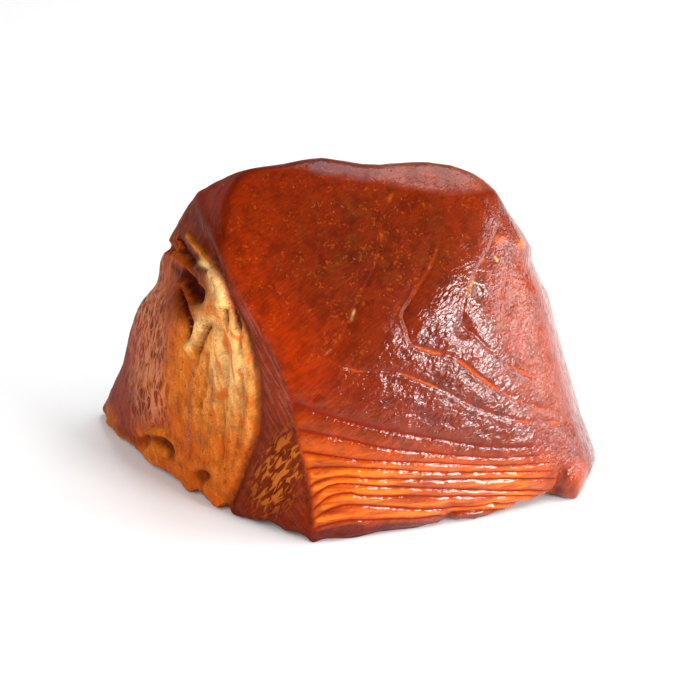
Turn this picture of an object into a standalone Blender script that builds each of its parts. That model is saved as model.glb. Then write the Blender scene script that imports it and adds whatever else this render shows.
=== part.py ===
"""A chunk of hot smoked tuna loin: one solid piece of fish, cut as a leaning wedge that rests on a flat base.

The chunk is a rounded block between eight gently bowed faces. Each face is a plane given by the compass
direction and the lean of its outward normal, its distance from the core point, and how much it bows. The
cage is a divided cube: every corner of it slides along its own ray from the core until it meets the block.
A Subdivision Surface rounds the cage, and a Boolean trims the resting face flat.

Metres, +Z up, +X along the longest side. The origin is the centre of the resting face's bounding box.
"""

import math
from typing import NamedTuple

import bmesh
import bpy
import numpy as np

MM = 0.001
OBJECT_NAME = "smoked_tuna_chunk"

CORE = np.array([0.0, 0.0, 40.0]) * MM  # the point inside the chunk that every distance is measured from
BASE_OFFSET = np.array([0.04, -1.32, 0.0]) * MM  # centres the finished block over the origin
EDGE_BLEND = 2.0 * MM  # how softly neighbouring faces run into each other
SPARE_BELOW = 2.5 * MM  # flesh below the resting plane, which the trim takes away
CAGE_CELLS = 12  # cells along each side of the divided cube
REACH = 0.17  # farther from the core than any corner of the chunk
HALVINGS = 40


class Face(NamedTuple):
    """One bowed side of the chunk; compass 0 faces -Y and 90 faces +X, and the bows are sagitta per square."""

    compass_deg: float
    lean_deg: float
    distance_mm: float
    bow_across: float
    bow_up: float


FACES = {
    "cut_face": Face(16, 19, 35.5, 0.7, 3.5),
    "cut_face_turn": Face(40, 24, 46.5, 1.8, 0.7),
    "right_end": Face(84, 19, 61.5, 2.5, 0.5),
    "ridge_strip": Face(-34, 1, 43.5, 3.3, 0.1),
    "fat_side": Face(-73, 18, 54.0, 0.3, 0.3),
    "left_end": Face(-97, 21, 68.0, 0.9, 0.3),
    "back": Face(178, 17, 38.0, 2.0, 1.5),
    "crest": Face(184, 60, 58.0, 2.5, 1.2),
}
BOW_UNIT = 1.0  # a bow of 1 drops the face by 1 mm at about 32 mm from its middle, in 1 / m

FLESH_COLOUR = (0.30, 0.055, 0.012, 1.0)
FLESH_ROUGHNESS = 0.35


def face_gaps(points):
    """How far each point lies outside each bowed face, in metres, one column a face."""
    gaps = []
    for face in FACES.values():
        compass = math.radians(face.compass_deg)
        lean = math.radians(face.lean_deg)
        normal = np.array(
            [
                math.sin(compass) * math.cos(lean),
                -math.cos(compass) * math.cos(lean),
                math.sin(lean),
            ]
        )
        across = np.array([math.cos(compass), math.sin(compass), 0.0])
        up = np.cross(normal, across)
        from_core = points - CORE
        bow = face.bow_across * (from_core @ across) ** 2 + face.bow_up * (from_core @ up) ** 2
        gaps.append(from_core @ normal - face.distance_mm * MM + BOW_UNIT * bow)
    gaps.append(-points[:, 2] - SPARE_BELOW)
    return np.stack(gaps, axis=1)


def outside(points):
    """A smooth maximum of the face gaps: positive outside the chunk, negative inside."""
    gaps = face_gaps(points)
    largest = gaps.max(axis=1, keepdims=True)
    shares = np.exp((gaps - largest) / EDGE_BLEND).sum(axis=1)
    return largest[:, 0] + EDGE_BLEND * np.log(shares)


def on_surface(directions):
    """Where the ray from the core along each unit direction leaves the chunk, found by halving."""
    near = np.zeros(len(directions))
    far = np.full(len(directions), REACH)
    for _ in range(HALVINGS):
        middle = (near + far) / 2
        is_out = outside(CORE + directions * middle[:, None]) > 0
        far = np.where(is_out, middle, far)
        near = np.where(is_out, near, middle)
    return CORE + directions * near[:, None]


def clear_scene():
    """Removes the objects of the scene that this script starts in."""
    for old in list(bpy.data.objects):
        bpy.data.objects.remove(old, do_unlink=True)


def new_collection(name):
    """A collection linked to the scene."""
    collection = bpy.data.collections.new(name)
    bpy.context.scene.collection.children.link(collection)
    return collection


def flesh_material():
    """Glossy red-brown smoked flesh."""
    material = bpy.data.materials.new("smoked_flesh")
    material.use_nodes = True
    shader = material.node_tree.nodes["Principled BSDF"]
    shader.inputs["Base Color"].default_value = FLESH_COLOUR
    shader.inputs["Roughness"].default_value = FLESH_ROUGHNESS
    shader.inputs["Metallic"].default_value = 0.0
    return material


def chunk_cage(collection):
    """The coarse cage of the chunk, from a divided cube."""
    shape = bmesh.new()
    bmesh.ops.create_cube(shape, size=2.0)
    bmesh.ops.subdivide_edges(shape, edges=shape.edges[:], cuts=CAGE_CELLS - 1, use_grid_fill=True)
    corners = np.array([vertex.co[:] for vertex in shape.verts])
    even = np.tan(corners * math.pi / 4)  # spreads the cells evenly over the sphere of directions
    directions = even / np.linalg.norm(even, axis=1, keepdims=True)
    for vertex, place in zip(shape.verts, on_surface(directions) + BASE_OFFSET):
        vertex.co = place
    mesh = bpy.data.meshes.new(OBJECT_NAME)
    shape.to_mesh(mesh)
    shape.free()
    mesh.shade_smooth()
    chunk = bpy.data.objects.new(OBJECT_NAME, mesh)
    collection.objects.link(chunk)
    return chunk


def trim_block(collection):
    """A block under the resting plane, which trims the base flat."""
    bpy.ops.mesh.primitive_cube_add(size=4 * REACH, location=(0, 0, -2 * REACH))
    block = bpy.context.object
    block.name = "base_trim"
    for holder in list(block.users_collection):
        holder.objects.unlink(block)
    collection.objects.link(block)
    block.hide_render = True
    block.display_type = "WIRE"
    return block


def main():
    """Builds the chunk."""
    clear_scene()
    parts = new_collection(OBJECT_NAME)
    cutters = new_collection("cutters")
    chunk = chunk_cage(parts)
    chunk.data.materials.append(flesh_material())

    soften = chunk.modifiers.new("soft_form", "SUBSURF")
    soften.levels = 1
    soften.render_levels = 1
    trim = chunk.modifiers.new("flat_base", "BOOLEAN")
    trim.operation = "DIFFERENCE"
    trim.object = trim_block(cutters)


main()
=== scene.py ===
"""The looks of a chunk of hot smoked tuna loin.

The chunk is one natural piece, so it is one surface: a rounded block between bowed faces, with pared edges.
The ridge, the membranes, the flaky laminae, the folded fat and its hollows are raised on it or cut into it.
The colours of flesh, fat and smoke are painted on its points, with painted shade in hollows and grooves,
a painted glow by the ridge, painted glints and a painted reflection on the top;
the finish adds grain, bump and wet shine.

Lengths are in millimetres until a mesh is made, because the details are a few millimetres wide.
"""

import logging
import math
from collections.abc import Callable
from dataclasses import dataclass, field
from enum import Enum

import bpy
import numpy as np
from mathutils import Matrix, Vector

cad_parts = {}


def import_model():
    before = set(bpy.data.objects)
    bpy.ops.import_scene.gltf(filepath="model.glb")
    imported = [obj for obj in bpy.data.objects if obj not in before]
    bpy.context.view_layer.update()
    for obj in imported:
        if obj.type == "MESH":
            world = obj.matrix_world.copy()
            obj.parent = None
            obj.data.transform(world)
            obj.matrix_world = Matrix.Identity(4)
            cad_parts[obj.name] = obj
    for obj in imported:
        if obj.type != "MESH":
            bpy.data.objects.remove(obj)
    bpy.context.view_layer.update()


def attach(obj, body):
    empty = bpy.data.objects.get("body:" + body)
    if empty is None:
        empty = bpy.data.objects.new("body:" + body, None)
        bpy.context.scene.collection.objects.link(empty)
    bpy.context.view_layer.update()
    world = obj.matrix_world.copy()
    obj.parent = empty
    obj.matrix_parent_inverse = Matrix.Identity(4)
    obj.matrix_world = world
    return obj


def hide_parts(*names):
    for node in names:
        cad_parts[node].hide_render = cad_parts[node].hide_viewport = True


LOG = logging.getLogger("smoked_tuna")
MM = 0.001
NODE = "smoked_tuna_chunk"

Array = np.ndarray
Knots = tuple[tuple[float, float], ...]
Socket = bpy.types.NodeSocket


def ease(low: float, high: float, value: Array) -> Array:
    """A smooth step from 0 at low to 1 at high; low may be the larger one."""
    share = np.clip((value - low) / (high - low), 0.0, 1.0)
    return share * share * (3.0 - 2.0 * share)


def bell(value: Array, width: float) -> Array:
    """A Gaussian of 1 at 0 that has fallen to 0.37 at width."""
    return np.exp(-((value / width) ** 2))


class Edge(Enum):
    """A side of the outline, by the direction on the pattern plane in which it is drawn in."""

    LEFT = (1.0, 0.0)
    RIGHT = (-1.0, 0.0)
    TOP = (0.0, -1.0)
    BOTTOM = (0.0, 1.0)


def tapered(share: Array, tail: float) -> Array:
    """1 along a line, easing to 0 over the tail at both ends."""
    return ease(0.0, tail, share) * ease(1.0, 1.0 - tail, share)


class Tone(Enum):
    """The colours of smoked tuna, with a painted glow and painted shade among them, as 8-bit sRGB."""

    BACK = (112, 38, 16)
    RED = (112, 29, 1)
    # a painted glow: light shining through the flesh near the ridge
    PAINTED_GLOW = (138, 36, 0)
    BROWN = (92, 25, 5)
    OLIVE = (92, 38, 8)
    WINE = (106, 32, 4)
    BAND = (178, 66, 4)
    UNDER = (96, 30, 20)
    MAUVE = (142, 58, 38)
    LILAC = (168, 92, 70)
    RUST = (196, 88, 22)
    FAT = (220, 136, 52)
    CREAM = (252, 208, 136)
    GOLD = (224, 128, 34)
    # painted shade: dark red laid in pockets, grooves, the crease and notches
    HOLLOW_SHADE = (72, 12, 4)
    SPOT = (214, 88, 10)
    STRAND = (216, 112, 14)
    # painted shade in the creases between laminae; also a dark stain in the band
    CREASE_SHADE_AND_STAIN = (116, 26, 4)
    MEMBRANE = (184, 70, 8)
    SPECK = (206, 104, 24)
    VEIN = (204, 130, 94)
    BLOT = (202, 90, 18)
    PORE = (96, 44, 20)
    PIT = (92, 26, 8)
    STRIPE = (146, 84, 72)
    COMB = (206, 112, 34)

    @property
    def linear(self) -> Array:
        """The scene-linear colour, by the sRGB curve."""
        share = np.array(self.value) / 255.0
        return np.where(share <= 0.04045, share / 12.92, ((share + 0.055) / 1.055) ** 2.4)

    @property
    def opaque(self) -> tuple[float, ...]:
        """The scene-linear colour of a socket."""
        return (*self.linear, 1.0)


@dataclass(frozen=True)
class BowedFace:
    """One bowed side of the block.

    compass_deg is 0 towards -Y and 90 towards +X, lean_deg tips the outward normal up, and distance is from
    the core in mm. The bows drop the face by that many mm at 31.6 mm from its middle, and a flare brings its
    upper half forwards again in the same way.
    """

    compass_deg: float
    lean_deg: float
    distance: float
    bow_across: float
    bow_up: float
    flare: float = 0.0

    def axes(self) -> tuple[Array, Array, Array]:
        """The face's own directions, from its compass and its lean.

        Returns:
            The outward normal, the direction across and the direction up the face.
        """
        compass, lean = math.radians(self.compass_deg), math.radians(self.lean_deg)
        normal = np.array(
            [math.sin(compass) * math.cos(lean), -math.cos(compass) * math.cos(lean), math.sin(lean)]
        )
        across = np.array([math.cos(compass), math.sin(compass), 0.0])
        return normal, across, np.cross(normal, across)

    def gap(self, from_core: Array) -> Array:
        """How far points lie outside the face: their height over its plane, plus the bows, less the flare.

        Args:
            from_core: points measured from the core, in mm.

        Returns:
            The gap of each point in mm, negative inside.
        """
        normal, across, up = self.axes()
        bow = self.bow_across * (from_core @ across) ** 2 + self.bow_up * (from_core @ up) ** 2
        bow = bow - self.flare * np.maximum(from_core @ up, 0.0) ** 2
        return from_core @ normal - self.distance + bow * MM


@dataclass(frozen=True)
class SpaceNoise:
    """Smooth value noise in space: random numbers on a lattice, eased between the eight corners of a cell."""

    seed: int
    size: int = 32

    def at(self, points: Array, grain: float) -> Array:
        """The noise at points.

        Args:
            points: places in mm.
            grain: the lattice's spacing in mm.

        Returns:
            One value from -1 to 1 a point.
        """
        lattice = np.random.default_rng(self.seed).uniform(-1.0, 1.0, (self.size,) * 3)
        cell = points / grain + 0.37 * self.seed
        low = np.floor(cell).astype(int)
        share = cell - low
        share = share * share * (3.0 - 2.0 * share)
        total = np.zeros(len(points))
        for corner in range(8):
            step = np.array([corner & 1, (corner >> 1) & 1, (corner >> 2) & 1])
            x, y, z = ((low + step) % self.size).T
            total += lattice[x, y, z] * np.prod(np.where(step == 1, share, 1.0 - share), axis=1)
        return total

    def layered(self, points: Array, grain: float, layers: int = 3) -> Array:
        """Several noises added, each half as coarse and half as strong as the one before."""
        return sum(self.at(points, grain / 2**n) / 2**n for n in range(layers)) / 1.5


@dataclass(frozen=True)
class Line:
    """A smooth line on the pattern plane through a few knots, in mm, as a Catmull-Rom curve."""

    knots: Knots
    steps: int = 7

    def points(self) -> Array:
        """Steps along the line: each stretch is the cubic with its neighbours' chords as slopes.

        Returns:
            Places along the line, n x 2.
        """
        knots = np.array(self.knots)
        padded = np.vstack([2 * knots[0] - knots[1], knots, 2 * knots[-1] - knots[-2]])
        t = np.linspace(0.0, 1.0, self.steps, endpoint=False)[:, None]
        runs = []
        for a, b, c, d in zip(padded, padded[1:], padded[2:], padded[3:]):
            bend = (2 * a - 5 * b + 4 * c - d) * t**2 + (3 * b - a - 3 * c + d) * t**3
            runs.append(0.5 * (2 * b + (c - a) * t + bend))
        return np.vstack([*runs, knots[-1:]])

    def measure(self, place: Array) -> tuple[Array, Array]:
        """The signed distance to the line, positive on its right, and the share of the way along it.

        Args:
            place: positions on the pattern plane, n x 2.

        Returns:
            Signed distances in mm and shares from 0 to 1.
        """
        line = self.points()
        run = np.diff(line, axis=0)
        length = np.linalg.norm(run, axis=1)
        along = np.concatenate([[0.0], np.cumsum(length)])
        best = np.full(len(place), np.inf)
        side = np.ones(len(place))
        share = np.zeros(len(place))
        for start, step, size, passed in zip(line, run, length, along):
            away = place - start
            t = np.clip(away @ step / size**2, 0.0, 1.0)
            gap = np.hypot(*(away - t[:, None] * step).T)
            closer = gap < best
            best = np.where(closer, gap, best)
            turn = step[1] * away[:, 0] - step[0] * away[:, 1]
            side = np.where(closer, np.where(turn >= 0, 1.0, -1.0), side)
            share = np.where(closer, (passed + t * size) / along[-1], share)
        return best * side, share

    def track(self, place: Array, width: float, tail: float) -> Array:
        """1 on the line, falling off across it as a bell, and over a share of its length at both ends."""
        gap, share = self.measure(place)
        return bell(gap, width) * tapered(share, tail)

    def height_at(self, across: Array) -> Array:
        """The line's height over each position across, for a line that runs from left to right."""
        line = self.points()
        return np.interp(across, line[:, 0], line[:, 1])

    def across_at(self, height: Array) -> Array:
        """The line's position across at each height, for a line that runs downwards."""
        line = self.points()[::-1]
        return np.interp(height, line[:, 1], line[:, 0])


@dataclass(frozen=True)
class Stroke:
    """A fold raised along a line, or a groove where its height is negative; it fades out at both ends."""

    knots: Knots
    width: float
    height: float
    tail: float = 0.15

    def relief(self, place: Array) -> Array:
        """Its height over the surface."""
        return self.height * Line(self.knots).track(place, self.width, self.tail)


@dataclass(frozen=True)
class Oval:
    """A soft oval on the pattern plane, with its long axis turned; firmness squares off its edge."""

    middle: tuple[float, float]
    radii: tuple[float, float]
    turn_deg: float = 0.0
    firmness: float = 1.0

    def share(self, place: Array) -> Array:
        """How much of the oval is at each place: exp(-(scaled distance ^ (2 x firmness))).

        Args:
            place: positions on the pattern plane, n x 2.

        Returns:
            1 in the middle, falling to 0 outside.
        """
        turn = math.radians(self.turn_deg)
        away = place - np.array(self.middle)
        right = away[:, 0] * math.cos(turn) + away[:, 1] * math.sin(turn)
        up = -away[:, 0] * math.sin(turn) + away[:, 1] * math.cos(turn)
        return np.exp(-(np.hypot(right / self.radii[0], up / self.radii[1]) ** (2.0 * self.firmness)))


@dataclass(frozen=True)
class Hollow:
    """An oval dent, or a raised lump when its depth is negative."""

    oval: Oval
    depth: float

    def relief(self, place: Array) -> Array:
        """Its height over the surface, negative in a dent."""
        return -self.depth * self.oval.share(place)


@dataclass(frozen=True)
class Patch:
    """A tone laid over an oval."""

    tone: Tone
    oval: Oval
    strength: float

    def share(self, place: Array) -> Array:
        """How much of the tone shows."""
        return self.strength * self.oval.share(place)


@dataclass(frozen=True)
class Trace:
    """A tone drawn along a line, fading out at both ends."""

    tone: Tone
    knots: Knots
    width: float
    strength: float
    tail: float = 0.12

    def share(self, place: Array) -> Array:
        """How much of the tone shows."""
        return self.strength * Line(self.knots).track(place, self.width, self.tail)


@dataclass(frozen=True)
class Membrane:
    """A thin sheet of tissue between two muscles, seen as a line where the knife crossed it."""

    knots: Knots
    strength: float


@dataclass(frozen=True)
class Trim:
    """Draws one side of the chunk in, as where a soft edge is pared or pressed.

    Each knot holds a position along the edge, where the plain block's edge lies there, and how far it moves.
    """

    edge: Edge
    knots: tuple[tuple[float, float, float], ...]
    fade: float = 16.0

    def shift(self, place: Array) -> Array:
        """How far each place moves on the pattern plane, easing out over fade mm from the edge inwards.

        Args:
            place: positions on the pattern plane, n x 2.

        Returns:
            Moves right and up in mm, n x 2.
        """
        inwards = np.array(self.edge.value)
        along, edge, move = np.array(self.knots).T
        position = place @ np.abs(inwards[::-1])
        depth = place @ inwards - np.interp(position, along, edge) * inwards.sum()
        return (np.interp(position, along, move) * ease(self.fade, 0.0, depth))[:, None] * inwards


@dataclass(frozen=True)
class PatternPlane:
    """The leaning plane on which the front's details are laid out, in mm right and up from its middle.

    A point of the chunk belongs to the place on the plane that a straight line from the eye passes through,
    so the layout stays true from the side that a buyer sees first.
    """

    middle: tuple[float, float, float] = (1.46, -5.9, 43.9)
    lean_deg: float = 27.4
    reach: float = 800.0

    def axes(self) -> tuple[Array, Array, Array]:
        """The plane's own directions, from its lean.

        Returns:
            The directions right, up the plane and into it.
        """
        lean = math.radians(self.lean_deg)
        right = np.array([1.0, 0.0, 0.0])
        inward = np.array([0.0, math.cos(lean), -math.sin(lean)])
        return right, np.cross(right, inward), inward

    def eye(self) -> Array:
        """The point that the layout is true from."""
        return np.array(self.middle) - self.axes()[2] * self.reach

    def place(self, points: Array) -> Array:
        """Where points of the chunk lie on the plane: a central projection from the eye.

        Args:
            points: points in mm, n x 3.

        Returns:
            Positions right and up from the middle in mm, n x 2.
        """
        right, up, inward = self.axes()
        away = points - self.eye()
        return np.stack([away @ right, away @ up], axis=1) * (self.reach / (away @ inward))[:, None]

    def facing(self, points: Array, normals: Array) -> Array:
        """The cosine between the surface and the direction to the eye, negative on the hidden side."""
        towards = self.eye() - points
        return (normals * towards).sum(axis=1) / np.linalg.norm(towards, axis=1)

    def moved(self, points: Array, shift: Array) -> Array:
        """Points shifted along the plane by n x 2 millimetres."""
        right, up, _ = self.axes()
        return points + shift[:, :1] * right + shift[:, 1:] * up


@dataclass
class Block:
    """The plain chunk: the space between bowed faces, with soft edges, sampled on a grid round a core."""

    core: tuple[float, float, float] = (0.04, -1.32, 40)
    blend: float = 2.0
    spare_below: float = 1.0
    reach: float = 170.0
    halvings: int = 34
    faces: tuple[BowedFace, ...] = (
        BowedFace(16, 19, 35.5, 0.7, 3.5),  # cut face
        BowedFace(40, 24, 46.5, 1.8, 0.7),  # cut face, where it turns to the end
        BowedFace(84, 19, 61.5, 2.5, 0.5),  # right end
        BowedFace(-34, 1, 43.5, 3.3, 0.1, 3.8),  # strip beside the ridge
        BowedFace(-73, 18, 54.0, 0.3, 0.3),  # fat side
        BowedFace(-97, 21, 68.0, 0.9, 0.3),  # left end
        BowedFace(178, 17, 38.0, 2.0, 1.5),  # back
        BowedFace(184, 60, 58.0, 2.5, 1.2),  # crest
    )
    # (distance out, height over the core) of a plain profile, with the rows of cells on each stretch
    profile: Knots = ((0, 62), (26, 60), (50, -41), (0, -41))
    profile_rows: tuple[int, ...] = (24, 172, 12)
    # (x, y) of a plain plan round the core, with the columns of cells on each side
    plan: Knots = ((-9, -45), (74, -8), (70, 35), (-60, 38), (-72, 22), (-9, -45))
    plan_columns: tuple[int, ...] = (196, 36, 74, 14, 134)
    # how far each side of the outline is drawn in
    trims: tuple[Trim, ...] = (
        Trim(Edge.LEFT, ((-42, -51, 1), (-34.5, -61.8, 2), (-28, -69.5, 3), (-24, -72.5, 1.6),
            (-20.5, -74.7, 2.2), (-17.5, -74.6, 0.4), (-14.5, -74, 1.4), (-4, -70.5, 2.6), (6, -67, 1.2),
            (13, -64.3, 1.2), (20.5, -61, 3.6), (26.5, -58.6, 1.9), (29, -57.6, 2), (31, -56.8, 3.4),
            (33, -56, 1.6), (45, -50, 2.2), (52, -42.6, 3.4), (56, -32, 2))),
        Trim(Edge.RIGHT, ((-42, 70, 0.4), (-36, 71.8, -0.8), (-30, 71.8, -1.2), (-24, 70.8, 0),
            (-19, 70, 1), (-3, 65.3, 1), (6, 62, 0.4), (17, 58.7, -0.3), (21, 57.2, 0.6), (26.5, 55.5, 0.9),
            (31, 53.5, -0.3), (38, 50.5, 0.5), (45, 47.3, 1)), 12.0),
        Trim(Edge.TOP, ((-38, 53.7, 0.8), (-20, 57, 1.1), (-13, 57.8, 0.5), (-8.5, 58, 0.2),
            (-3, 58.2, 1.2), (4, 58, 2.2), (9, 58.1, 2.3), (15, 57.8, 1.6), (23, 57, 0.6), (30, 56, 0.5),
            (36, 54.6, 1.2), (42, 51.9, 2.2), (46.5, 47, 2.4)), 14.0),
        Trim(Edge.BOTTOM, ((-71, -26.5, 1.2), (-60, -36.2, 2), (-52, -41.3, 1.4), (-49.5, -42.8, 0.2),
            (-46.5, -44.3, 2.4), (-43.5, -45.6, 0.6), (-40.5, -47, -0.2), (-37.5, -48.7, 1.4),
            (-34.5, -50, 0.5), (-30, -51.8, 0.7), (-24.5, -53.6, 2.2), (-19.5, -55.2, 0.9), (-16, -56, 1.6),
            (-11.5, -57, 0), (0, -56.1, 0), (8, -54.9, 0.6), (20, -53.2, 0.3), (26, -52.3, 0.6),
            (29.5, -51.8, 2.2), (32, -51.3, 0.5), (38, -50.4, 0.2), (45, -48.8, 1.2), (51, -48, 2.8),
            (59, -46.5, 3.9), (63, -45.3, 2.4), (65.5, -44.4, 0.6), (68, -43.3, -0.6), (69.5, -41.8, 0.8),
            (71, -40, 2.6)), 11.0),
    )

    def directions(self) -> tuple[Array, int, int]:
        """Unit vectors from the core, dense where the details are.

        Each row aims at evenly spaced places on the plain profile, each column at places on the plain plan.

        Returns:
            Vectors as columns x rows x 3, and the numbers of columns and rows, poles included.
        """
        tilt = self._angles(self.profile, self.profile_rows, np.arctan2)
        tilt = np.append(tilt, math.pi)
        turn = self._angles(self.plan, self.plan_columns, lambda x, y: np.arctan2(y, x))
        turn, tilt = np.meshgrid(turn, tilt, indexing="ij")
        vectors = np.stack([np.cos(turn) * np.sin(tilt), np.sin(turn) * np.sin(tilt), np.cos(tilt)], axis=-1)
        return vectors, *turn.shape

    @staticmethod
    def _angles(outline: Knots, cells: tuple[int, ...], angle_of: Callable[[Array, Array], Array]) -> Array:
        """The angle at the start of each cell along an outline.

        Args:
            outline: corners of the outline.
            cells: how many equal cells each stretch is cut into.
            angle_of: the angle of a place from its two coordinates.

        Returns:
            One angle a cell.
        """
        corners = np.array(outline)
        runs = [
            np.linspace(start, end, count, endpoint=False)
            for start, end, count in zip(corners, corners[1:], cells)
        ]
        return angle_of(*np.vstack(runs).T)

    def gaps(self, points: Array) -> Array:
        """How far points lie outside each face and the underside.

        Args:
            points: points in mm, n x 3.

        Returns:
            Gaps in mm, one column a face.
        """
        from_core = points - np.array(self.core)
        columns = [face.gap(from_core) for face in self.faces]
        return np.stack([*columns, -points[:, 2] - self.spare_below], axis=1)

    def surface(self, vectors: Array) -> Array:
        """Where each ray leaves the block, found by halving.

        The block is where the smooth maximum of the gaps, blend x log(sum(exp(gap / blend))), is negative.

        Args:
            vectors: unit vectors from the core, n x 3.

        Returns:
            Points in mm, n x 3.
        """
        core = np.array(self.core)
        near, far = np.zeros(len(vectors)), np.full(len(vectors), self.reach)
        for _ in range(self.halvings):
            middle = (near + far) / 2
            gaps = self.gaps(core + vectors * middle[:, None])
            largest = gaps.max(axis=1)
            spread = np.exp((gaps - largest[:, None]) / self.blend).sum(axis=1)
            outside = largest + self.blend * np.log(spread) > 0
            far, near = np.where(outside, middle, far), np.where(outside, near, middle)
        return core + vectors * near[:, None]

    def trimmed(self, points: Array, plane: PatternPlane) -> Array:
        """The points after every side of the outline is drawn in."""
        place = plane.place(points)
        return plane.moved(points, sum(trim.shift(place) for trim in self.trims))

    @staticmethod
    def normals(points: Array) -> Array:
        """Normals of a grid of points: the cross product of the steps down and round.

        Args:
            points: columns x rows x 3, in mm.

        Returns:
            Outward unit vectors, one a point.
        """
        round_step = np.roll(points, -1, axis=0) - np.roll(points, 1, axis=0)
        down_step = np.gradient(points, axis=1)
        normal = np.cross(down_step, round_step)
        normal[:, 0], normal[:, -1] = (0.0, 0.0, 1.0), (0.0, 0.0, -1.0)
        return normal / np.maximum(np.linalg.norm(normal, axis=-1, keepdims=True), 1e-9)


@dataclass(frozen=True)
class Site:
    """Where the points of the plain block lie, with the noises that every detail shares; one row a point."""

    base: Array
    place: Array
    loose: Array
    front: Array
    from_ridge: Array
    crease_gap: Array
    crease_share: Array
    cloud: Array
    fleck: Array
    grit: Array
    wobble: Array

    def noise(self, seed: int, grain: float, stretch: tuple[float, float, float] = (1.0, 1.0, 1.0)) -> Array:
        """A layered noise over the points, drawn out along an axis where its stretch is under 1."""
        return SpaceNoise(seed).layered(self.base * np.array(stretch), grain)

    @property
    def on_left(self) -> Array:
        """1 on the shown side left of the ridge."""
        return self.front * ease(0.6, -0.8, self.from_ridge)

    @property
    def on_cut(self) -> Array:
        """1 on the shown side right of the ridge."""
        return self.front * ease(-0.6, 0.6, self.from_ridge)


class Canvas:
    """The colour and the named numbers of every point, laid on coat by coat."""

    def __init__(self, count: int) -> None:
        """Starts with the tone of the hidden sides."""
        self.tint = np.tile(Tone.BACK.linear, (count, 1))
        self.numbers: dict[str, Array] = {}

    def lay(self, tone: Tone, share: Array) -> None:
        """Mixes a tone over what is there, by a share from 0 to 1."""
        share = np.clip(share, 0.0, 1.0)[:, None]
        self.tint = self.tint * (1.0 - share) + tone.linear * share

    def lay_all(self, marks: tuple[Patch | Trace, ...], place: Array, inside: Array) -> None:
        """Lays patches or lines of tone in order, on the share of each point that is inside."""
        for mark in marks:
            self.lay(mark.tone, inside * mark.share(place))


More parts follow.
